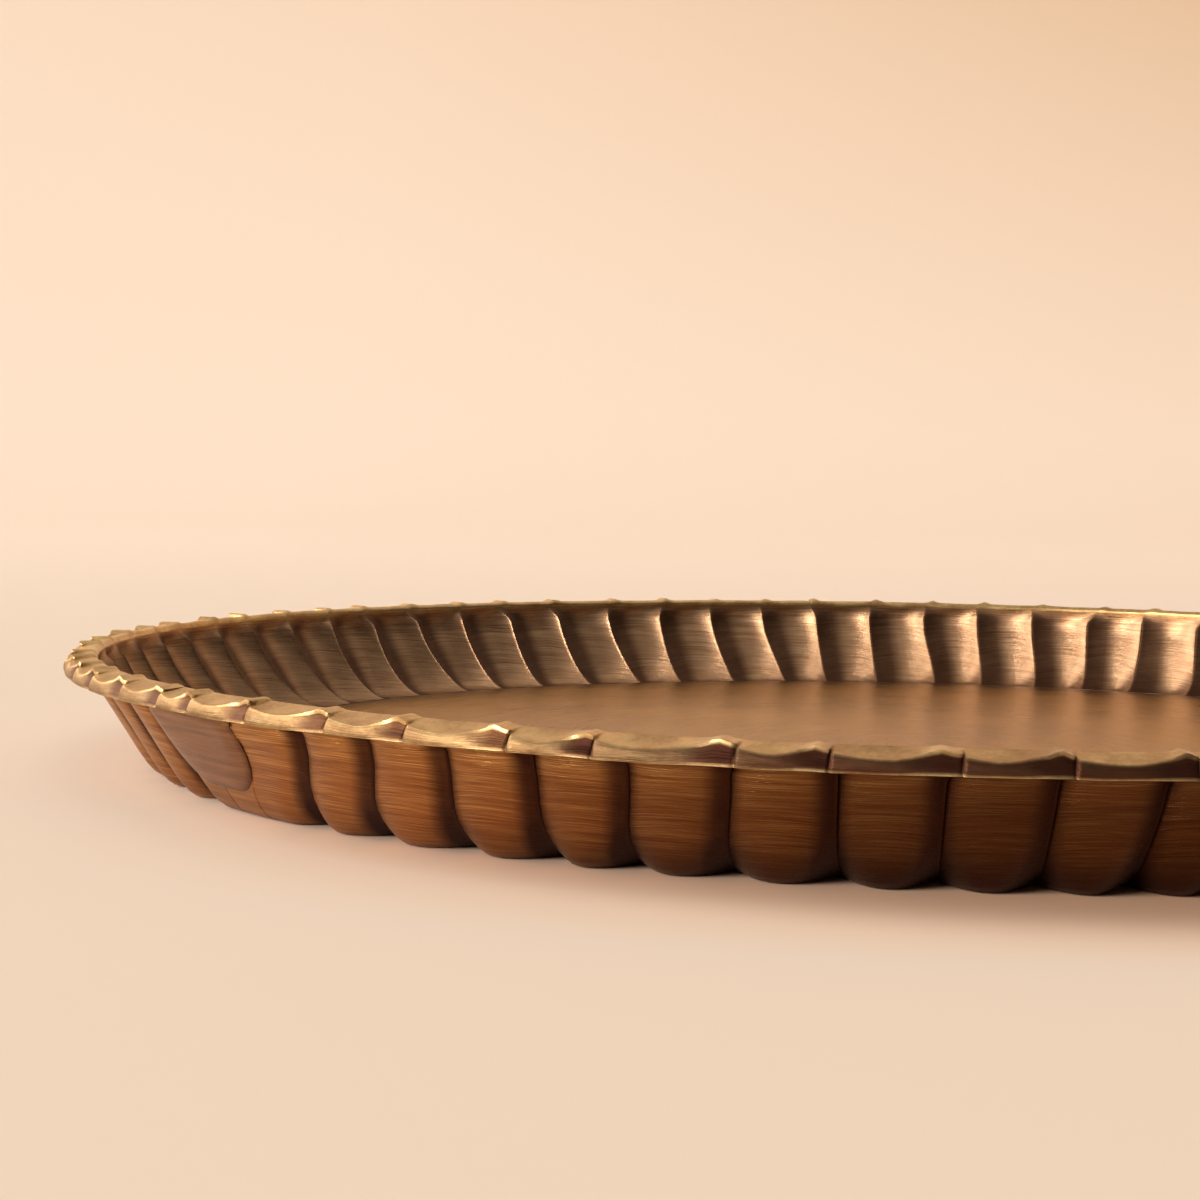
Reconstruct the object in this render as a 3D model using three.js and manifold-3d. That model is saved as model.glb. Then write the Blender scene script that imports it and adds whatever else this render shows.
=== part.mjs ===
// A round brass serving tray with a fluted wall, in millimetres, +Z up.
// The origin is the centre of the tray on the plane it stands on, and the joint of the wall is on -X.
// A strip of sheet is fluted and bent into a ring. Its top edge is turned outward over a wire as a
// sloping lip with a short skirt. Its foot is turned in under a flat floor disc and soldered, and a
// strap with a round end covers the joint of the strip.
import * as THREE from 'three';
import { ParametricGeometry } from 'three/addons/geometries/ParametricGeometry.js';
import { mergeVertices } from 'three/addons/utils/BufferGeometryUtils.js';
import Module from 'manifold-3d';

// Driving dimensions.
const trayRadius = 180;
const trayHeight = 23;
const sheet = 0.7; // thickness of the wall strip
const floorSheet = 1; // thickness of the floor disc
const gap = 0.3; // play between pieces that only meet
const fluteCount = 70; // pitches round the wall
const plainGrooves = 2; // grooves left out, at the joint and one pitch past it
const fluteLean = THREE.MathUtils.degToRad(0.017); // lean of the flutes for each millimetre of height
const shoulder = 0.13; // share of the pitch from a groove to the flat of a flute
const footInner = 141; // inner edge of the turned-in foot
const grooveRise = [[151, 0.35], [160, 0.5], [168, 6.5], [171.9, 17.4]]; // wall's middle line in a groove
const lobeRise = [[161, 0.35], [164.5, 0.35], [167.3, 8], [174, 17.4]]; // the same on a flute
const collarRadius = 173.9; // wall's middle line where all the flutes have run out, under the lip
const crestBend = 1.4; // bend from the wall to the lip
const edgeHeight = 20.5; // height where the sloping lip turns down into its skirt
const hemHeight = 19.2; // raw edge of the skirt
const wireRadius = 0.9;
const wireRing = 175.8;
const wireHeight = 20.5;
const wireSides = 6;
const jointGap = 0.4; // gap between the two ends of the wall strip
const strapSheet = 0.7;
const strapHalfWidth = 14.6;
const strapLow = 4.6; // lowest point of the strap above the table
const strapTop = 18.8; // its upper edge, under the wire
const strapCorner = 11; // height of its rounded lower corners
const strapCornerWidth = 14.3; // and their width
const solderWidth = 1;
const ringSegments = 105;
const riseSteps = 6; // straight steps in the curve of the wall

// What follows from them.
const halfSheet = sheet / 2;
const pitch = (2 * Math.PI) / fluteCount;
const edgeRadius = trayRadius - halfSheet; // middle line of the skirt
const crestHeight = trayHeight - halfSheet; // top of the middle line
const crestRadius = collarRadius + crestBend;
const floorRadius = grooveRise[0][0] - solderWidth - 2 * gap;
const jointAngle = Math.PI;

const wasm = await Module();
wasm.setup();

function solid(geometry) {
  const plain = geometry.clone();
  plain.deleteAttribute('normal');
  plain.deleteAttribute('uv');
  const merged = mergeVertices(plain, 1e-4);
  return new wasm.Manifold(new wasm.Mesh({
    numProp: 3,
    vertProperties: merged.getAttribute('position').array,
    triVerts: new Uint32Array(merged.index.array),
  }));
}

function geometryOf(manifold) {
  const made = manifold.getMesh();
  return new THREE.BufferGeometry()
    .setAttribute('position', new THREE.BufferAttribute(made.vertProperties, 3))
    .setIndex(new THREE.BufferAttribute(made.triVerts, 1));
}

// The middle line of the sheet in a radial section, as (radius, height), from the foot to the hem.
function middleLine(controls) {
  const [riseStart, firstHandle, lastHandle, riseEnd] = controls.map((pair) => new THREE.Vector2(...pair));
  const footStart = new THREE.Vector2(footInner, halfSheet);
  const bendStart = new THREE.Vector2(collarRadius, crestHeight - crestBend);
  const crest = new THREE.Vector2(crestRadius, crestHeight);
  const corner = new THREE.Vector2(edgeRadius, edgeHeight);
  const hem = new THREE.Vector2(edgeRadius, hemHeight);
  const stretches = [
    [new THREE.LineCurve(footStart, riseStart), 1],
    [new THREE.CubicBezierCurve(riseStart, firstHandle, lastHandle, riseEnd), riseSteps],
    [new THREE.LineCurve(riseEnd, bendStart), 1],
    [new THREE.EllipseCurve(crestRadius, bendStart.y, crestBend, crestBend, Math.PI, Math.PI / 2, true), 3],
    [new THREE.LineCurve(crest, corner), 1],
    [new THREE.LineCurve(corner, hem), 1],
  ];
  return [...stretches.flatMap(([curve, steps]) => curve.getPoints(steps).slice(0, steps)), hem];
}

// The same line moved sideways in its own plane, outwards for a positive distance.
function offsetLine(points, distance) {
  return points.map((point, i) => {
    const before = points[Math.max(i - 1, 0)];
    const after = points[Math.min(i + 1, points.length - 1)];
    const back = point.clone().sub(before).normalize();
    const ahead = after.clone().sub(point).normalize();
    const along = back.clone().add(ahead).normalize();
    const turn = Math.max(along.dot(i ? back : ahead), 0.5);
    return point.clone().add(new THREE.Vector2(along.y, -along.x).multiplyScalar(distance / turn));
  });
}

// Both faces of the sheet as one closed loop: up the inner face and back down the outer one.
function sheetLoop(points, thickness) {
  return [...offsetLine(points, -thickness / 2), ...offsetLine(points, thickness / 2).reverse()];
}

const grooveLine = middleLine(grooveRise);
const lobeLine = middleLine(lobeRise);

// Where each column of the wall stands: a groove, then the two edges of the flat of a flute.
function column(index) {
  const flute = Math.floor(index / 3);
  const place = index % 3;
  const grooveAngle = jointAngle + (plainGrooves + flute) * pitch;
  const isPlain = flute >= fluteCount - plainGrooves;
  return {
    angle: grooveAngle + [0, shoulder, 1 - shoulder][place] * pitch,
    depth: place === 0 && !isPlain ? 1 : 0,
  };
}

function flutedWall() {
  const groove = sheetLoop(grooveLine, sheet);
  const lobe = sheetLoop(lobeLine, sheet);
  const columns = fluteCount * 3;
  const surface = new ParametricGeometry((u, v, target) => {
    const row = Math.round(u * groove.length) % groove.length;
    const { angle, depth } = column(Math.round(v * columns) % columns);
    const point = lobe[row].clone().lerp(groove[row], depth);
    const turned = angle - fluteLean * (trayHeight - point.y);
    target.set(point.x * Math.cos(turned), point.x * Math.sin(turned), point.y);
  }, groove.length, columns);
  const slot = new THREE.BoxGeometry(trayRadius - footInner + 10, jointGap, trayHeight * 3);
  slot.translate(-(trayRadius + footInner) / 2, 0, 0);
  return geometryOf(solid(surface).subtract(solid(slot)));
}

function floorDisc() {
  const disc = new THREE.CylinderGeometry(floorRadius, floorRadius, floorSheet, ringSegments);
  return disc.rotateX(Math.PI / 2).translate(0, 0, sheet + floorSheet / 2);
}

// The ring of solder in the corner between the edge of the floor disc and the foot.
function solderFillet() {
  const inner = floorRadius + gap;
  const profile = [
    new THREE.Vector2(inner, sheet),
    new THREE.Vector2(inner + solderWidth, sheet),
    new THREE.Vector2(inner, sheet + floorSheet),
    new THREE.Vector2(inner, sheet),
  ];
  return new THREE.LatheGeometry(profile, ringSegments).rotateX(Math.PI / 2);
}

// The wire under the turned lip, with a gap where its two ends meet.
function rimWire() {
  const ring = new THREE.TorusGeometry(wireRing, wireRadius, wireSides, ringSegments);
  ring.translate(0, 0, wireHeight);
  const slot = new THREE.BoxGeometry(10, jointGap, 10).translate(-wireRing, 0, wireHeight);
  return geometryOf(solid(ring).subtract(solid(slot)));
}

// A U-shaped plate that follows the plain stretch of the wall, up to just under the wire.
function jointStrap() {
  const wallOnly = lobeLine.slice(1, riseSteps + 3);
  const near = offsetLine(wallOnly, halfSheet + gap).reverse();
  const far = offsetLine(wallOnly, halfSheet + gap + strapSheet);
  const band = new THREE.LatheGeometry([...far, ...near, far[0]], ringSegments).rotateX(Math.PI / 2);
  const outline = new THREE.Shape();
  outline.moveTo(-strapHalfWidth, strapTop);
  outline.lineTo(-strapHalfWidth, strapLow + strapCorner);
  outline.quadraticCurveTo(-strapHalfWidth, strapLow, strapCornerWidth - strapHalfWidth, strapLow);
  outline.lineTo(strapHalfWidth - strapCornerWidth, strapLow);
  outline.quadraticCurveTo(strapHalfWidth, strapLow, strapHalfWidth, strapLow + strapCorner);
  outline.lineTo(strapHalfWidth, strapTop);
  const reach = trayRadius / 2; // depth of the punch that cuts the outline
  const punch = new THREE.ExtrudeGeometry(outline, { depth: reach, bevelEnabled: false, curveSegments: 5 });
  punch.rotateX(Math.PI / 2).rotateZ(Math.PI / 2).translate(-trayRadius, 0, 0);
  return geometryOf(solid(band).intersect(solid(punch)));
}

const brass = new THREE.MeshStandardMaterial({ color: 0x8a5a2a, roughness: 0.38, metalness: 1 });
const floorBrass = new THREE.MeshStandardMaterial({ color: 0x9a6a38, roughness: 0.42, metalness: 1 });
const wireBrass = new THREE.MeshStandardMaterial({ color: 0x6e4620, roughness: 0.5, metalness: 1 });
const solder = new THREE.MeshStandardMaterial({ color: 0x7c5a3c, roughness: 0.55, metalness: 1 });

function named(name, geometry, material) {
  const mesh = new THREE.Mesh(geometry, material);
  mesh.name = name;
  return mesh;
}

const tray = new THREE.Group();
tray.add(
  named('fluted_wall', flutedWall(), brass),
  named('floor_disc', floorDisc(), floorBrass),
  named('solder_fillet', solderFillet(), solder),
  named('rim_wire', rimWire(), wireBrass),
  named('joint_strap', jointStrap(), brass),
);

export default tray;
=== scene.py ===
# A round brass tray: a fluted wall with a crimped, turned edge, a flat floor and a strap over the joint.
# Lengths are millimetres in the dictionaries of the pieces, and metres in the meshes, the view, the stage
# and the lights. +Z is up, and the joint of the wall is on -X.
import math

import bmesh
import bpy
import numpy as np
from mathutils import Matrix, Vector, noise


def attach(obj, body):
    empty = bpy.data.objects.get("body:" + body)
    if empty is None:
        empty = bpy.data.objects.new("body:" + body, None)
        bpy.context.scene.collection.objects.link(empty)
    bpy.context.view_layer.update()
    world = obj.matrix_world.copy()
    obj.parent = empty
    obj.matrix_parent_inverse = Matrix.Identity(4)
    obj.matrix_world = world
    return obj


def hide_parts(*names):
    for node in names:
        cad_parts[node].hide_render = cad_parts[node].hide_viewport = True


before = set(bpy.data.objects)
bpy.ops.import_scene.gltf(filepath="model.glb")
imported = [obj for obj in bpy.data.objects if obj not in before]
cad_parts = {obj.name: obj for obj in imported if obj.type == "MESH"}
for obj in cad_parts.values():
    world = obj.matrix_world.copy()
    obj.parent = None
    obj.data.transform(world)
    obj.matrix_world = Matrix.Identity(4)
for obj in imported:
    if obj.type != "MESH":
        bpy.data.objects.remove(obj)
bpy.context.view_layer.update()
scene = bpy.context.scene
mm = 0.001
random = np.random.default_rng(11)
print("frame loaded:", sorted(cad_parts))


def smooth(low, high, x):
    t = np.clip((x - low) / (high - low), 0, 1)
    return t * t * (3 - 2 * t)


def mix(a, b, share):
    return a + (b - a) * share


def hill(x, centre, width):  # a soft hill of height 1
    return np.exp(-((x - centre) / width) ** 2)


def makePiece(bm, name, material, sharp=0.8):  # edges that turn more than sharp radians stay sharp
    bmesh.ops.recalc_face_normals(bm, faces=bm.faces)
    for face in bm.faces:
        face.smooth = True
    for edge in bm.edges:
        edge.smooth = edge.calc_face_angle(0) < sharp
    mesh = bpy.data.meshes.new(name)
    bm.to_mesh(mesh)
    bm.free()
    mesh.materials.append(material)
    piece = bpy.data.objects.new(name, mesh)
    scene.collection.objects.link(piece)
    print("made", name, "with", len(mesh.polygons), "faces")
    return piece


def seat(piece, node):  # the piece rides with the tray and stands for one CAD node
    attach(piece, "root")
    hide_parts(node)


class Signal:
    def __init__(self, finish, socket):
        self.finish = finish
        self.socket = socket

    def math(self, operation, *values):
        return self.finish.add("Math", {"operation": operation}, dict(enumerate(values)))

    def __add__(self, other):
        return self.math("ADD", self, other)

    def __sub__(self, other):
        return self.math("SUBTRACT", self, other)

    def __mul__(self, other):
        return self.math("MULTIPLY", self, other)

    def __truediv__(self, other):
        return self.math("DIVIDE", self, other)

    def __pow__(self, other):
        return self.math("POWER", self, other)

    def __rsub__(self, other):
        return self.math("SUBTRACT", other, self)

    __radd__ = __add__
    __rmul__ = __mul__

    def clip(self, low=0.0, high=1.0):
        return self.finish.add("Clamp", {}, {"Value": self, "Min": low, "Max": high})

    def between(self, low, high):  # 0 at low, 1 at high
        return ((self - low) * (1 / (high - low))).clip()


class Finish:
    def __init__(self, owner):  # a new material, or the world
        self.owner = owner
        owner.use_nodes = True
        self.tree = owner.node_tree
        self.tree.nodes.clear()

    def add(self, kind, settings, values, output=0):
        node = self.tree.nodes.new("ShaderNode" + kind)
        for key, value in settings.items():
            setattr(node, key, value)
        for key, value in values.items():
            if isinstance(value, Signal):
                self.tree.links.new(value.socket, node.inputs[key])
            else:
                node.inputs[key].default_value = value
        return Signal(self, node.outputs[output]) if node.outputs else None

    def colours(self, factor, first, second):
        settings = {"data_type": "RGBA"}
        first, second = (c if isinstance(c, Signal) else (*c, 1) for c in (first, second))
        return self.add("Mix", settings, {0: factor, 6: first, 7: second}, output=2)

    def place(self, output=3):  # x, y and z of the object's own coordinates
        point = self.add("TexCoord", {}, {}, output=output)
        return [self.add("SeparateXYZ", {}, {0: point}, output=i) for i in range(3)]

    def across(self):  # distance along the section, from the map made with the mesh
        return self.add("SeparateXYZ", {}, {0: self.add("UVMap", {"uv_map": "section"}, {})}, output=1)

    def mark(self, name):
        return self.add("Attribute", {"attribute_name": name}, {}, output=2)

    def grain(self, name, x, y, z):
        across, up, detail, rough = grains[name]
        vector = self.add("CombineXYZ", {}, {0: x * across, 1: y * across, 2: z * up})
        return self.add("TexNoise", {}, {
            "Vector": vector, "Scale": 1.0, "Detail": detail, "Roughness": rough,
        })

    def metal(self, colour, roughness, height, anisotropy, depth):
        normal = self.add("Bump", {}, {"Height": height, "Strength": 1.0, "Distance": depth})
        shader = self.add("BsdfPrincipled", {}, {
            "Base Color": colour, "Roughness": roughness, "Metallic": 1.0,
            "Anisotropic": anisotropy, "Normal": normal,
        })
        self.add("OutputMaterial", {}, {"Surface": shader})
        return self.owner


# spots to a metre across and upwards, then the noise's detail and roughness
grains = {
    "brushLine": (80, 6500, 3.0, 0.6),
    "brushBand": (45, 900, 2.0, 0.5),
    "cloud": (90, 140, 3.0, 0.6),
    "rub": (160, 420, 4.0, 0.65),
    "speck": (1400, 1400, 4.0, 0.7),
    "floorCloud": (22, 22, 4.0, 0.6),
    "floorSpot": (700, 700, 3.0, 0.7),
    "dullCloud": (180, 180, 4.0, 0.6),
    "pit": (2400, 2400, 3.0, 0.6),
}
wallTones = {
    "streakDark": (0.25, 0.093, 0.028),
    "streakMid": (0.45, 0.20, 0.064),
    "streakLight": (0.72, 0.41, 0.15),
    "sideShadeTone": (0.05, 0.016, 0.006),
    # colour of the patina in the grooves and of the painted shade
    "shadeAndPatina": (0.055, 0.019, 0.011),
    "insideDark": (0.30, 0.135, 0.06),
    "insideLight": (0.68, 0.44, 0.25),
    "worn": (0.84, 0.58, 0.26),
    "wornDark": (0.44, 0.22, 0.08),
    "sideShade": 0.8,         # how far the painted side shade goes to its colour
    "roughness": 0.33,
    "anisotropy": 0.6,
    "lineDepth": 0.00003,
}


def streaks(finish, x, y, s):
    fine = finish.grain("brushLine", x, y, s)
    broad = finish.grain("brushBand", x, y, s)
    return fine.between(0.33, 0.67), broad.between(0.3, 0.7)


def wallBrass():
    tones = wallTones
    finish = Finish(bpy.data.materials.new("antique_brass_wall"))
    x, y, z = finish.place()
    s = finish.across()
    fine, broad = streaks(finish, x, y, s)
    tone = (fine * 0.72 + broad * 0.28).clip()
    outer = finish.colours(tone.between(0.1, 0.6), tones["streakDark"], tones["streakMid"])
    outer = finish.colours(tone.between(0.55, 1.0), outer, tones["streakLight"])
    # painted shade round the side of the tray away from the light
    outer = finish.colours(finish.mark("sideShade") * tones["sideShade"], outer, tones["sideShadeTone"])
    inner = finish.colours(tone, tones["insideDark"], tones["insideLight"])
    colour = finish.colours(finish.mark("inside"), outer, inner)
    cloud = finish.grain("cloud", x, y, z)
    # painted shade and patina, from the marks made with the mesh
    shadeAndPatinaMark = finish.mark("shadeAndPatinaMark")
    shadeAndPatina = (shadeAndPatinaMark * 1.25 + (cloud - 0.5) * 0.5 * shadeAndPatinaMark).clip()
    colour = finish.colours(shadeAndPatina, colour, tones["shadeAndPatina"])
    speck = finish.grain("speck", x, y, z)
    rub = finish.grain("rub", x, y, z)
    worn = finish.mark("worn")
    bright = (worn * 1.3 + (rub - 0.5) * worn + (speck - 0.5) * 0.3 * worn).clip()
    edge = finish.colours((speck * 0.3 + rub * 0.7).between(0.28, 0.62), tones["wornDark"], tones["worn"])
    colour = finish.colours(bright, colour, edge)
    roughness = tones["roughness"] + (fine - 0.5) * 0.10 + shadeAndPatina * 0.12 + (speck - 0.5) * 0.1 * worn
    height = fine * (1 - worn * 0.7) + speck * worn * 0.7
    return finish.metal(colour, roughness.clip(0.15, 0.8), height, tones["anisotropy"], tones["lineDepth"])


strapTones = {
    "dark": (0.17, 0.075, 0.035),
    "light": (0.40, 0.20, 0.095),
    "shadeAndPatina": wallTones["shadeAndPatina"],
    "roughness": 0.32,
    "anisotropy": 0.5,
    "lineDepth": 0.00003,
}


def strapBrass():
    tones = strapTones
    finish = Finish(bpy.data.materials.new("antique_brass_strap"))
    x, y, z = finish.place()
    fine, broad = streaks(finish, x, y, z)
    colour = finish.colours((fine * 0.35 + broad * 0.65).clip(), tones["dark"], tones["light"])
    cloud = finish.grain("cloud", x, y, z)
    # darker along the strap's edge
    colour = finish.colours((finish.mark("shadeAndPatinaMark") * (0.6 + cloud)).clip(), colour, tones["shadeAndPatina"])
    roughness = tones["roughness"] + (fine - 0.5) * 0.1 + (cloud - 0.5) * 0.12
    return finish.metal(colour, roughness, fine, tones["anisotropy"], tones["lineDepth"])


floorTones = {
    "dark": (0.28, 0.13, 0.035),
    "light": (0.60, 0.33, 0.10),
    "edge": (0.11, 0.05, 0.03),
    "spot": (0.13, 0.06, 0.035),
    "shadeFrom": 0.139,      # painted shade: the floor darkens from here to the wall, in metres
    "shadeTo": 0.1495,
    "roughness": 0.3,
    "anisotropy": 0.45,
    "lineDepth": 0.00002,
}


def floorBrass():
    tones = floorTones
    finish = Finish(bpy.data.materials.new("antique_brass_floor"))
    x, y, z = finish.place()
    radius = (x * x + y * y) ** 0.5
    fine, broad = streaks(finish, x, y, radius)
    cloud = finish.grain("floorCloud", x, y, z)
    tone = (fine * 0.3 + broad * 0.3 + cloud.between(0.3, 0.7) * 0.4).clip()
    colour = finish.colours(tone, tones["dark"], tones["light"])
    # painted shade in the corner by the wall
    colour = finish.colours(radius.between(tones["shadeFrom"], tones["shadeTo"]) * 0.6, colour, tones["edge"])
    spots = finish.grain("floorSpot", x, y, z).between(0.62, 0.72)
    colour = finish.colours(spots * 0.5, colour, tones["spot"])
    roughness = tones["roughness"] + (fine - 0.5) * 0.1 + (cloud - 0.5) * 0.16
    return finish.metal(colour, roughness, fine + cloud * 4, tones["anisotropy"], tones["lineDepth"])


dullTones = {
    "old_solder": {"dark": (0.09, 0.06, 0.045), "light": (0.24, 0.16, 0.11), "roughness": 0.5},
    "edge_wire_brass": {"dark": (0.12, 0.055, 0.02), "light": (0.30, 0.16, 0.07), "roughness": 0.45},
}
pitDepth = 0.00005


def dullMetal(name):
    tones = dullTones[name]
    finish = Finish(bpy.data.materials.new(name))
    x, y, z = finish.place()
    cloud = finish.grain("dullCloud", x, y, z).between(0.3, 0.7)
    pits = finish.grain("pit", x, y, z)
    colour = finish.colours(cloud, tones["dark"], tones["light"])
    return finish.metal(colour, tones["roughness"] + (cloud - 0.5) * 0.15, pits, 0.0, pitDepth)


wall = {
    "flutes": 70,
    # share of the pitch at which each column stands, close together at the grooves and crimps
    "columns": (0, 0.012, 0.024, 0.04, 0.065, 0.1, 0.15, 0.22, 0.31, 0.4,
                0.5, 0.6, 0.68, 0.76, 0.83, 0.88, 0.92, 0.955, 0.976, 0.99),
    "rows": {"foot": 2, "rise": 9, "neck": 4, "bend": 4, "facet": 7, "face": 7},
    "sheet": 0.7,
    "ring": 174,                        # radius at which lengths round the wall are measured
    "jointGap": 0.3,
    "footInner": 141,
    "groove": ((151, 0.35), (159, 0.5), (166.3, 6.0), (171.1, 17.4)),   # curve of the section in a groove
    "lobe": ((161, 0.35), (164.5, 0.35), (167.3, 8.0), (174.0, 17.4)),  # and on a flute
    "square": (2.0, 2.0, 2.1, 2.4),     # how square the flutes are, from the foot to the top
    "full": 0.95,                       # fuller flutes below 1, thinner ones above
    "grooveFloor": 0.02,                # half width of a groove's flat bottom, in pitches
    "grooveDepth": (0.93, 1.05),        # least and most, as a share of the full depth
    "crack": 0.3,                       # depth of the thin line at the bottom of a groove
    "swell": 0.12,                      # how much one flute stands out more than another
    "wobble": 0.012,                    # in pitches
    "lean": math.radians(0.017),        # for each millimetre of height
    "height": 23,
    "inner": (173.75, 21.2),            # inner edge of the lip
    "top": (174.6, 22.2),
    "ridge": (178.3, 22.0),             # outer corner of the lip between facets
    "scoop": (179.05, 20.85),           # the same in the middle of a facet
    "hem": (179.62, 19.15),             # raw edge of the lip
    "crown": 0.7,                       # rise of the lip before each crease
    "crownVary": (0.6, 1.1),
    "dimple": 0.7,                      # dent in the skirt under the crown
    "dimpleVary": (0.7, 1.2),
    "crease": 0.5,                      # depth of the line at each crimp
    "creaseVary": (0.6, 1.2),
    "scoopVary": (0.85, 1.05),
    "scoopPeak": (0.34, 0.46),          # where a facet is deepest, in pitches after its crease
    "scoopEnd": (0.8, 0.92),
    "sway": 0.12,                       # of the raw edge
    "unevenWall": 0.05,                 # bumps and dents of hand work
    "unevenLip": 0.11,
    "lumpsRound": 28,                   # how close they are round the wall
    "lumpHeight": 4,
    # how far each crimp stands from its groove, in pitches, beginning at the joint
    "creaseShift": (0, -0.35, -0.31, -0.14, -0.14, 0, -0.155, 0.16, -0.03, 0.12, 0.055),
    "creaseStray": (-0.15, 0.15),
    # how far each groove leans over by the time it is down at the foot, in pitches
    "footShift": (0, -0.4, -0.58, -0.5, -0.28, -0.16, -0.2, -0.15, -0.03, 0, 0),
    "footStray": (-0.2, 0.05),
    "leanBelow": 17,                    # height from which they lean
}
pitch = 2 * math.pi / wall["flutes"]
lipRow = wall["rows"]["foot"] + wall["rows"]["rise"] + wall["rows"]["neck"]


def points(radius, height, like):
    return np.stack([radius + 0 * like, height + 0 * like])


def curve(a, b, c, d, steps, last=0):  # rows along a cubic curve, for all columns at once
    rows = []
    for t in np.arange(steps + last) / steps:
        rows.append(a * (1 - t) ** 3 + b * 3 * t * (1 - t) ** 2 + c * 3 * t * t * (1 - t) + d * t ** 3)
    return rows


def perFlute(low, high):  # one value for each flute, and the first again at the end
    values = random.uniform(low, high, wall["flutes"])
    return np.append(values, values[0])


def handSet(known, low, high):  # the first grooves' values are listed, the rest are random
    rest = random.uniform(low, high, wall["flutes"] - len(known))
    return np.array([*known, *rest, 0])


def toNext(values, flute, share):  # runs from each groove's value to the next one's
    return mix(values[flute], values[flute + 1], share)


def wallColumns():
    count = wall["flutes"]
    flute = np.append(np.repeat(np.arange(count), len(wall["columns"])), count - 1)
    share = np.append(np.tile(wall["columns"], count), 1.0)
    return flute, share


def wallSection(flute, share):  # middle line of the sheet: rows x (radius, height) x columns
    w = wall
    near = np.where(share < 0.5, flute, flute + 1)
    away = np.minimum(share, 1 - share)
    beyond = np.clip((away - w["grooveFloor"]) / (0.5 - w["grooveFloor"]), 0, 1)
    strength = perFlute(*w["grooveDepth"])
    strength[0] = strength[1] = strength[-1] = 0         # no groove under the strap, nor next to it
    swell = perFlute(-w["swell"], w["swell"])[flute]
    controls = []
    for groove, lobe, square in zip(w["groove"], w["lobe"], w["square"]):
        lobeShare = 1 - strength[near] * (1 - (1 - (1 - beyond) ** square) ** w["full"])
        radius = mix(groove[0], lobe[0], lobeShare) + swell * lobeShare
        controls.append(np.stack([radius, mix(groove[1], lobe[1], lobeShare)]))
    crack = w["crack"] * hill(share, 0.012, 0.007) * strength[near]
    for control in controls[1:]:
        control[0] -= crack
    rows = w["rows"]
    start = points(w["footInner"], w["sheet"] / 2, share)
    early, late = (mix(start, controls[0], part) for part in (0.33, 0.67))
    line = curve(start, early, late, controls[0], rows["foot"])
    line += curve(*controls, rows["rise"])

    # the lip: a scooped facet after each crease, a crown before the next
    depth = perFlute(*w["scoopVary"])[flute]
    peak = perFlute(*w["scoopPeak"])[flute]
    end = perFlute(*w["scoopEnd"])[flute]
    scoop = mix(0.35, 1, np.sin(np.pi / 2 * np.clip(share / peak, 0, 1))) * (1 - smooth(peak, end, share))
    scoop = depth * scoop * np.where(share < 0.006, 0.4, 1)
    crown = perFlute(*w["crownVary"])[flute] * w["crown"] * hill(share, end + 0.02, 0.07)
    sway = toNext(perFlute(-w["sway"], w["sway"]), flute, share)
    neckTop = points(*w["inner"], share)
    top = points(*w["top"], share) + np.stack([0 * crown, crown * 0.8])
    ridge = points(*w["ridge"], share) + np.stack([0 * crown, crown])
    corner = mix(ridge, points(*w["scoop"], share), scoop)
    hem = points(*w["hem"], share) + np.stack([sway * 0.4, sway])
    up = points(0, 1, share)
    out = points(1, 0, share)
    reach = corner - top
    wallTop = controls[3]
    neck = curve(wallTop, wallTop + 1.3 * up, neckTop - 1.5 * up + 0.25 * out, neckTop, rows["neck"])
    bend = curve(neckTop, neckTop + 0.6 * up - 0.05 * out, top - 0.4 * out, top, rows["bend"])
    facet = curve(top, top + reach * 0.3, corner - reach * 0.2, corner, rows["facet"])
    face = curve(corner, corner + reach * 0.14, hem + 0.9 * up, hem, rows["face"], last=1)
    dimple = perFlute(*w["dimpleVary"])[flute] * w["dimple"] * smooth(0.5, 0.86, share)
    crease = perFlute(*w["creaseVary"])[near] * w["crease"] * hill(away, 0, 0.013)
    for k, row in enumerate(facet):
        t = k / rows["facet"]
        row[0] -= 0.10 * scoop * math.sin(math.pi * t) + crease * 0.6 * smooth(0.5, 1, t)
        row[1] -= 0.12 * scoop * math.sin(math.pi * t) + crease * 0.5 * smooth(0.4, 1, t)
    for k, row in enumerate(face):
        t = k / rows["face"]
        row[0] -= dimple * math.sin(math.pi * min(t * 1.1, 1)) + crease * mix(1, 0.5, t)
    line += neck + bend + facet + face
    return np.array(line), strength[near]


def wallTurn(flute, share, height):  # how far round from the joint each point stands
    w = wall
    shift = toNext(handSet(w["creaseShift"], *w["creaseStray"]), flute, share)
    lower = toNext(handSet(w["footShift"], *w["footStray"]), flute, share)
    wobble = perFlute(-w["wobble"], w["wobble"])
    wobble[0] = wobble[-1] = 0
    wobble = toNext(wobble, flute, share)

    # columns stand on the grooves in the wall, and move over to the creases in the lip
    carried = smooth(lipRow - w["rows"]["neck"], lipRow, np.arange(len(height)))[:, None]
    sunk = 1 - smooth(0, w["leanBelow"], height)
    turn = (flute + share + wobble + carried * shift + sunk * lower) * pitch
    halfGap = w["jointGap"] / 2 / w["ring"]
    return np.clip(turn, halfGap, 2 * math.pi - halfGap)


def makeUneven(line, turn, length):  # a little, as hand work is
    w = wall
    lumps = w["lumpsRound"]
    for row in range(w["rows"]["foot"] + 1, len(line)):
        amount = w["unevenWall"] if row < lipRow else w["unevenLip"]
        for column, bearing in enumerate(turn[row]):
            up = length[row, column] / w["lumpHeight"]
            place = Vector((math.cos(bearing) * lumps, math.sin(bearing) * lumps, up))
            line[row, :, column] += amount * noise.noise(place)


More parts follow.
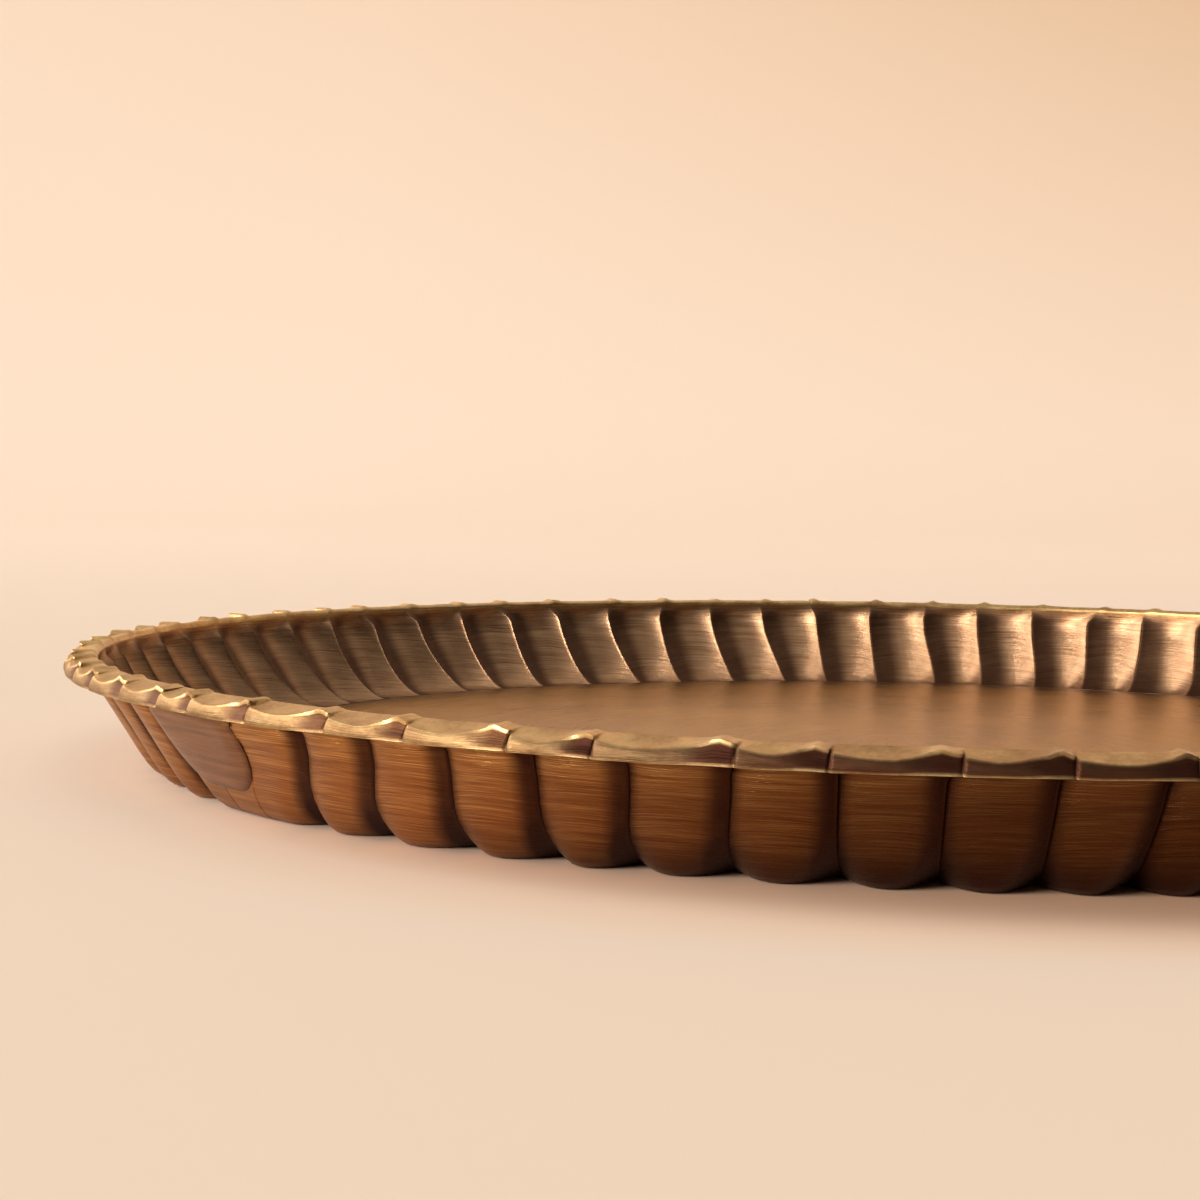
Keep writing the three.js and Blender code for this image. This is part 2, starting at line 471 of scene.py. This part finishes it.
def wallMarks(line, flute, share, grooved):  # patina, wear and painted shade, inside the tray and outside
    rowCount = len(line)
    row = np.arange(rowCount)[:, None]
    faceRow = rowCount - wall["rows"]["face"]
    wallPart = 1 - smooth(lipRow - 2, lipRow, row)
    lipPart = smooth(lipRow - 1, lipRow + 2, row)
    # painted shadow on the wall under the lip
    paintedLipShadow = smooth(lipRow - 3.5, lipRow - 1.5, row)
    faceRows = smooth(faceRow - 1, faceRow + 1, row)
    away = np.minimum(share, 1 - share)
    bearing = (flute + share) * pitch

    # painted shade: the wall is darker round the side of the tray away from the light
    sideShade = smooth(0.25, 0.85, bearing) * (1 - smooth(3.6, 5.6, bearing)) + perFlute(-0.1, 0.1)[flute]
    sideShade = np.clip(sideShade, 0, 1)[None] + 0 * line[:, 1]
    # painted shade on the lip round the same side of the tray
    lipSideShade = smooth(0.42, 0.7, bearing) * (1 - smooth(3.6, 5.6, bearing))

    # patina in and beside each groove, and painted shade over the shoulder of the flute before it
    before = 0.25 * (1 - smooth(0.004, 0.03, away)) + 0.75 * (1 - smooth(0.08, 0.27, away))
    after = 0.5 * (1 - smooth(0.006, 0.035, away)) + 0.45 * (1 - smooth(0.03, 0.16, away))
    grooveShadeAndPatina = np.where(share < 0.5, after, before) * grooved
    # painted shade towards the foot, where the wall turns down to the table
    paintedFootShade = 1 - smooth(1.0, 8.5, line[:, 1])
    # outside: groove patina, with painted shade on the shoulders, towards the foot and under the lip
    shadeAndPatinaOut = grooveShadeAndPatina * wallPart + (0.2 + 0.65 * sideShade) * paintedFootShade + 0.55 * paintedLipShadow
    # painted shade inside: one half of each flute darker, and the hanging face of the lip darker, more so
    # on the shaded side
    shadeAndPatinaIn = (0.15 * (1 - smooth(0.25, 0.5, away)) + 0.5 * smooth(0.4, 0.7, share)) * wallPart
    shadeAndPatinaIn += faceRows * (0.7 + 0.3 * lipSideShade) + lipPart * 0.1 * lipSideShade

    dimpled = smooth(0.55, 0.85, share) * (1 - smooth(0.985, 1, share))
    wornIn = lipPart * (1 - faceRows * (0.75 + 0.25 * dimpled))
    wornIn *= 1 - 0.9 * hill(away, 0, 0.014) * smooth(lipRow + 5, lipRow + 9, row)
    # painted shade: the lip is less bright on the shaded side, most of all on its hanging face
    wornIn *= 1 - lipSideShade * (0.4 + 0.5 * faceRows)
    wornIn[-1] = 0.4
    none = 0 * wornIn
    return {"shadeAndPatinaMark": (shadeAndPatinaIn, np.clip(shadeAndPatinaOut, 0, 1)), "worn": (wornIn, none),
            "inside": (wallPart + none, none), "sideShade": (sideShade, sideShade)}


def flutedWall(material):
    w = wall
    flute, share = wallColumns()
    line, grooved = wallSection(flute, share)
    rowCount, columnCount = len(line), len(share)
    turn = wallTurn(flute, share, line[:, 1])
    angle = math.pi + turn - w["lean"] * (w["height"] - line[:, 1])
    length = np.cumsum(np.linalg.norm(np.diff(line, axis=0, prepend=line[:1]), axis=1), axis=0)
    makeUneven(line, turn, length)
    values = wallMarks(line, flute, share, grooved)

    ahead = np.gradient(line, axis=0)
    ahead /= np.linalg.norm(ahead, axis=1, keepdims=True)
    outward = np.stack([ahead[:, 1], -ahead[:, 0]], axis=1)
    half = np.full(rowCount, w["sheet"] / 2)
    half[-1] *= 0.7                                  # the raw edge is a little rounded
    offset = outward * half[:, None, None]
    sides = (line - offset, line + offset)           # inside of the tray, then outside
    place = np.array([[s[:, 0] * np.cos(angle), s[:, 0] * np.sin(angle), s[:, 1]] for s in sides]) * mm

    # two flat sheets joined along their borders; every vertex is then carried to its place
    bm = bmesh.new()
    for side in (0, 1):
        bmesh.ops.create_grid(bm, x_segments=columnCount - 1, y_segments=rowCount - 1, size=0.5,
                              matrix=Matrix.Translation((0, 0, side)))
    bmesh.ops.bridge_loops(bm, edges=[e for e in bm.edges if e.is_boundary])
    marks = {name: bm.verts.layers.float.new(name) for name in ("shadeAndPatinaMark", "worn", "inside", "sideShade")}
    section = bm.loops.layers.uv.new("section")
    index = {}
    for vert in bm.verts:
        column = round((vert.co.x + 0.5) * (columnCount - 1))
        row = round((vert.co.y + 0.5) * (rowCount - 1))
        side = 1 if vert.co.z > 0.5 else 0
        index[vert] = (row, column)
        for name, layer in marks.items():
            vert[layer] = float(values[name][side][row, column])
        vert.co = place[side, :, row, column]
    level = length.mean(axis=1) * mm
    for face in bm.faces:
        for loop in face.loops:
            row, column = index[loop.vert]
            loop[section].uv = (turn[0, column] * w["ring"] * mm, level[row])
    return makePiece(bm, "fine_fluted_wall", material)


strap = {
    "halfWidth": 14.6,
    "low": 4.9,
    "top": 18.5,
    "corner": 10,
    "cornerCuts": 20,
    "bend": 172,          # radius it is bent to
    "standOff": 0.05,     # from the wall's outer face
    "edge": 0.12,         # thickness at the very edge
    "rise": 0.9,          # how much thicker it gets
    "soft": 4.6,          # within this distance of the edge
    "edgeDark": 0.6,
    "edgeDarkWidth": 1.2,
    "cutsAcross": 48,
    "cutsUp": 24,
}


def lobeOuter(height):  # outer face of a flute at a height, straight above the top of its curve
    a, b, c, d = (np.array(p) for p in wall["lobe"])
    radii, heights = np.array(curve(a, b, c, d, 60, last=1)).T
    lean = np.interp(height, heights, np.gradient(radii, heights))
    return np.interp(height, heights, radii) + wall["sheet"] / 2 * math.hypot(1, lean)


def fromEdge(across, height):  # distance to the U-shaped edge
    s = strap
    outward = abs(across) - (s["halfWidth"] - s["corner"])
    downward = s["low"] + s["corner"] - height
    if outward > 0 and downward > 0:
        return s["corner"] - math.hypot(outward, downward)
    return min(s["halfWidth"] - abs(across), height - s["low"])


def jointStrap(material):
    s = strap
    bm = bmesh.new()
    middle = (s["top"] + s["low"]) / 2
    size = Matrix.Diagonal((s["halfWidth"], (s["top"] - s["low"]) / 2, 1, 1))
    place = Matrix.Translation((0, middle, 0)) @ size
    bmesh.ops.create_grid(bm, x_segments=1, y_segments=1, size=1, matrix=place)
    lower = [v for v in bm.verts if v.co.y < middle]
    bmesh.ops.bevel(bm, geom=lower, offset=s["corner"], segments=s["cornerCuts"], profile=0.5,
                    affect="VERTICES", clamp_overlap=True, material=-1)
    front = bmesh.ops.extrude_face_region(bm, geom=bm.faces[:], use_keep_orig=True)["geom"]
    bmesh.ops.translate(bm, verts=[g for g in front if isinstance(g, bmesh.types.BMVert)], vec=(0, 0, 1))
    cuts = [((mix(-s["halfWidth"], s["halfWidth"], k / s["cutsAcross"]), 0, 0), (1, 0, 0))
            for k in range(1, s["cutsAcross"])]
    cuts += [((0, mix(s["low"], s["top"], k / s["cutsUp"]), 0), (0, 1, 0)) for k in range(1, s["cutsUp"])]
    for point, normal in cuts:
        bmesh.ops.bisect_plane(bm, geom=bm.verts[:] + bm.edges[:] + bm.faces[:], plane_co=point,
                               plane_no=normal)
    shadeAndPatinaMark = bm.verts.layers.float.new("shadeAndPatinaMark")
    for vert in bm.verts:
        across, height, depth = vert.co
        inward = max(fromEdge(across, height), 0)
        share = min(inward / s["soft"], 1)
        depth *= s["edge"] + s["rise"] * (1 - (1 - share) ** 2)
        # the strap darkens towards its edge
        vert[shadeAndPatinaMark] = s["edgeDark"] * (1 - smooth(0, s["edgeDarkWidth"], inward))
        radius = lobeOuter(height) + s["standOff"] + depth
        angle = math.pi + across / s["bend"]
        vert.co = Vector((radius * math.cos(angle), radius * math.sin(angle), height)) * mm
    return makePiece(bm, "soft_edged_strap", material, sharp=1.2)


def spinSection(outline, segments):  # a closed line of (radius, height) points, spun into a full ring
    bm = bmesh.new()
    verts = [bm.verts.new((r, 0, z)) for r, z in outline]
    edges = [bm.edges.new(pair) for pair in zip(verts, verts[1:] + verts[:1])]
    bmesh.ops.spin(bm, geom=verts + edges, cent=(0, 0, 0), axis=(0, 0, 1), angle=2 * math.pi,
                   steps=segments, use_merge=True, use_duplicate=False)
    return bm


floor = {
    "radius": 149.4,
    "low": 0.7,
    "thick": 1.0,
    "edge": 0.25,
    "rings": 26,
    "segments": 210,
    "wave": 0.03,
    "waveLength": 45,
    "weld": 0.01,         # points closer than this are joined
}


def floorDisc(material):
    f = floor
    high = f["low"] + f["thick"]
    radii = [f["radius"] * k / f["rings"] for k in range(f["rings"])]
    outline = [(r, high) for r in radii]
    outline += [(f["radius"] - f["edge"], high), (f["radius"], high - f["edge"])]
    outline += [(f["radius"], f["low"] + f["edge"]), (f["radius"] - f["edge"], f["low"]), (0, f["low"])]
    bm = spinSection(outline, f["segments"])
    bmesh.ops.remove_doubles(bm, verts=bm.verts, dist=f["weld"])
    axis = [e for e in bm.edges if max(v.co.xy.length for v in e.verts) < f["weld"]]
    bmesh.ops.delete(bm, geom=axis, context="EDGES")
    for vert in bm.verts:
        if vert.co.z > high - f["weld"]:
            calm = 1 - vert.co.xy.length / f["radius"]
            vert.co.z += f["wave"] * noise.noise(vert.co / f["waveLength"]) * calm
    bmesh.ops.scale(bm, vec=(mm, mm, mm), verts=bm.verts)
    return makePiece(bm, "fine_floor_disc", material)


solder = {
    "inner": 149.7,
    "width": 1.0,
    "low": 0.7,
    "tall": 1.0,
    "hollow": 0.2,
    "toe": (0.3, 0.15),     # in from the outer edge, and up
    "head": (0.12, 0.25),   # out from the disc, and down from the top
    "segments": 280,
    "uneven": 0.12,
    "lump": 3,
}


def solderRing(material):
    s = solder
    high = s["low"] + s["tall"]
    hollow = (s["inner"] + s["width"] * 0.5 - s["hollow"], s["low"] + s["tall"] * 0.5 - s["hollow"])
    outer = s["inner"] + s["width"]
    toe = (outer - s["toe"][0], s["low"] + s["toe"][1])
    head = (s["inner"] + s["head"][0], high - s["head"][1])
    outline = [(s["inner"], s["low"]), (outer, s["low"]), toe, hollow, head, (s["inner"], high)]
    bm = spinSection(outline, s["segments"])
    for vert in bm.verts:
        if vert.co.z > s["low"] + 0.1:
            vert.co.z += s["uneven"] * noise.noise(vert.co / s["lump"])
    bmesh.ops.scale(bm, vec=(mm, mm, mm), verts=bm.verts)
    return makePiece(bm, "solder_bead", material, sharp=1.3)


edgeWire = {
    "ring": 175.9,
    "height": 20.35,
    "radius": 0.6,
    "sides": 10,
    "segments": 210,
    "gap": 0.4,
}


def rimWire(material):
    w = edgeWire
    bm = bmesh.new()
    turn = Matrix.Translation((-w["ring"], 0, w["height"])) @ Matrix.Rotation(math.pi / 2, 4, "X")
    bmesh.ops.create_circle(bm, cap_ends=True, segments=w["sides"], radius=w["radius"], matrix=turn)
    gapAngle = w["gap"] / w["ring"]
    bmesh.ops.rotate(bm, verts=bm.verts, cent=(0, 0, 0), matrix=Matrix.Rotation(gapAngle / 2, 3, "Z"))
    bmesh.ops.spin(bm, geom=bm.verts[:] + bm.edges[:] + bm.faces[:], cent=(0, 0, 0), axis=(0, 0, 1),
                   angle=2 * math.pi - gapAngle, steps=w["segments"], use_duplicate=False)
    bmesh.ops.scale(bm, vec=(mm, mm, mm), verts=bm.verts)
    return makePiece(bm, "edge_wire", material)


view = {
    "place": (-0.3501, -0.3541, 0.0611),
    "heading": 36.51,     # degrees from +Y towards +X
    "down": 3.364,
    "roll": 0.851,
    "lens": 69.71,
}
heading = math.radians(view["heading"])
ahead = Vector((math.sin(heading), math.cos(heading), 0))
right = Vector((math.cos(heading), -math.sin(heading), 0))


def addCamera():
    camera = bpy.data.objects.new("camera", bpy.data.cameras.new("camera"))
    scene.collection.objects.link(camera)
    down, roll = math.radians(view["down"]), math.radians(view["roll"])
    sight = ahead * math.cos(down) - Vector((0, 0, math.sin(down)))
    up = right.cross(sight)
    across = right * math.cos(roll) + up * math.sin(roll)
    upright = up * math.cos(roll) - right * math.sin(roll)
    turn = Matrix((across, upright, -sight)).transposed()
    camera.matrix_world = Matrix.Translation(view["place"]) @ turn.to_4x4()
    camera.data.lens = view["lens"]
    camera.data.sensor_width = 36
    camera.data.clip_start = 0.01
    camera.data.clip_end = 50
    scene.camera = camera


stage = {
    "wide": 5.0,
    "back": 3.2,          # from the tray to the foot of the upright part
    "sweep": 1.6,
    "tall": 2.4,
    "pale": (0.785, 0.645, 0.52),
    "paperShadeTone": (0.56, 0.36, 0.20),
    "glow": (0.92, 0.50, 0.27),
    "glowFrom": 0.165,    # the glow of the brass on the paper, from its middle
    "glowTo": 0.21,
}


def addStage():  # one sheet of paper, flat under the tray and turned up behind it
    s = stage
    bm = bmesh.new()
    bmesh.ops.create_grid(bm, x_segments=2, y_segments=80, size=1)
    bend = s["sweep"] * math.pi / 2
    flat = s["wide"] + s["back"] - s["sweep"]
    whole = flat + bend + s["tall"] - s["sweep"]
    for vert in bm.verts:
        along = (vert.co.y + 1) / 2 * whole
        a = min(max(along - flat, 0) / s["sweep"], math.pi / 2)
        out = min(along, flat) + s["sweep"] * math.sin(a) - s["wide"]
        up = s["sweep"] * (1 - math.cos(a)) + max(along - flat - bend, 0)
        vert.co = right * vert.co.x * s["wide"] + ahead * out + Vector((0, 0, up))
    finish = Finish(bpy.data.materials.new("pale_paper"))
    x, y, z = finish.place()
    side = x * right.x + y * right.y              # towards the right of the view
    back = x * ahead.x + y * ahead.y
    # painted shade: the paper darkens and warms towards the right of the view and up the back
    paperShade = side.between(-0.4, 1.2) * 0.2 + z.between(0.1, 1.2) * (0.3 + 0.7 * side.between(-1.0, 1.0))
    colour = finish.colours(paperShade, s["pale"], s["paperShadeTone"])
    radius = (x * x + y * y) ** 0.5               # brass throws a warm glow on the paper round its foot
    shaded = ((side * 0.7 - back * 0.7) / radius).between(-0.2, 0.8)
    near = 1 - radius.between(s["glowFrom"], s["glowTo"])
    colour = finish.colours(near * shaded * 0.8, colour, s["glow"])
    shader = finish.add("BsdfPrincipled", {}, {"Base Color": colour, "Roughness": 0.85})
    finish.add("OutputMaterial", {}, {"Surface": shader})
    paper = makePiece(bm, "paper_sweep", finish.owner)
    if paper.data.polygons[0].normal.z < 0:
        paper.data.flip_normals()


# each light stands to the left of the camera as seen from the tray: degrees round, up and across
lights = {
    "window": {"side": -108, "rise": 30, "spread": 42, "strength": 2.1, "colour": (1.0, 0.96, 0.92)},
    "softbox": {"side": -54, "rise": 19, "spread": 26, "strength": 3.0, "colour": (1.0, 0.97, 0.94)},
}
backlight = {"behind": 0.9, "up": 1.9, "down": 22, "width": 3.5, "tall": 1.2, "watts": 15}
room = {"bright": (1.0, 0.89, 0.78), "dim": (0.035, 0.025, 0.02), "darkSide": 40, "strength": 0.62}


def addRoom():  # a soft dome of light, dim towards the camera and to its right
    world = bpy.data.worlds.new("room")
    finish = Finish(world)
    x, y, z = finish.place(0)
    side = math.radians(room["darkSide"])
    away = right * math.sin(side) - ahead * math.cos(side)
    dim = (x * away.x + y * away.y - z * 0.6).between(-0.45, 0.4) * z.between(0.06, 0.2)
    glow = finish.add("Background", {}, {
        "Color": finish.colours(dim, room["bright"], room["dim"]), "Strength": room["strength"],
    })
    finish.add("OutputWorld", {}, {"Surface": glow})
    scene.world = world


def addLights():
    for name, light in lights.items():
        lamp = bpy.data.lights.new(name, "SUN")
        lamp.energy = light["strength"]
        lamp.angle = math.radians(light["spread"])
        lamp.color = light["colour"]
        side, rise = math.radians(light["side"]), math.radians(light["rise"])
        flat = right * math.sin(side) - ahead * math.cos(side)
        toward = flat * math.cos(rise) + Vector((0, 0, math.sin(rise)))
        thing = bpy.data.objects.new(name, lamp)
        thing.location = toward * 2
        thing.rotation_euler = toward.to_track_quat("Z", "Y").to_euler()
        scene.collection.objects.link(thing)
    b = backlight                                  # lights the upright part of the paper and nothing else
    lamp = bpy.data.lights.new("backlight", "AREA")
    lamp.shape = "RECTANGLE"
    lamp.size, lamp.size_y = b["width"], b["tall"]
    lamp.energy = b["watts"]
    down = math.radians(b["down"])
    beam = ahead * math.cos(down) - Vector((0, 0, math.sin(down)))
    thing = bpy.data.objects.new("backlight", lamp)
    thing.location = ahead * b["behind"] + Vector((0, 0, b["up"]))
    thing.rotation_euler = beam.to_track_quat("-Z", "Y").to_euler()
    scene.collection.objects.link(thing)
    scene.view_settings.view_transform = "Standard"


addCamera()
addStage()
addLights()
addRoom()
print("camera, stage and lights in place")

seat(flutedWall(wallBrass()), "fluted_wall")
seat(jointStrap(strapBrass()), "joint_strap")
seat(floorDisc(floorBrass()), "floor_disc")
seat(solderRing(dullMetal("old_solder")), "solder_fillet")
seat(rimWire(dullMetal("edge_wire_brass")), "rim_wire")
print("pieces seated")
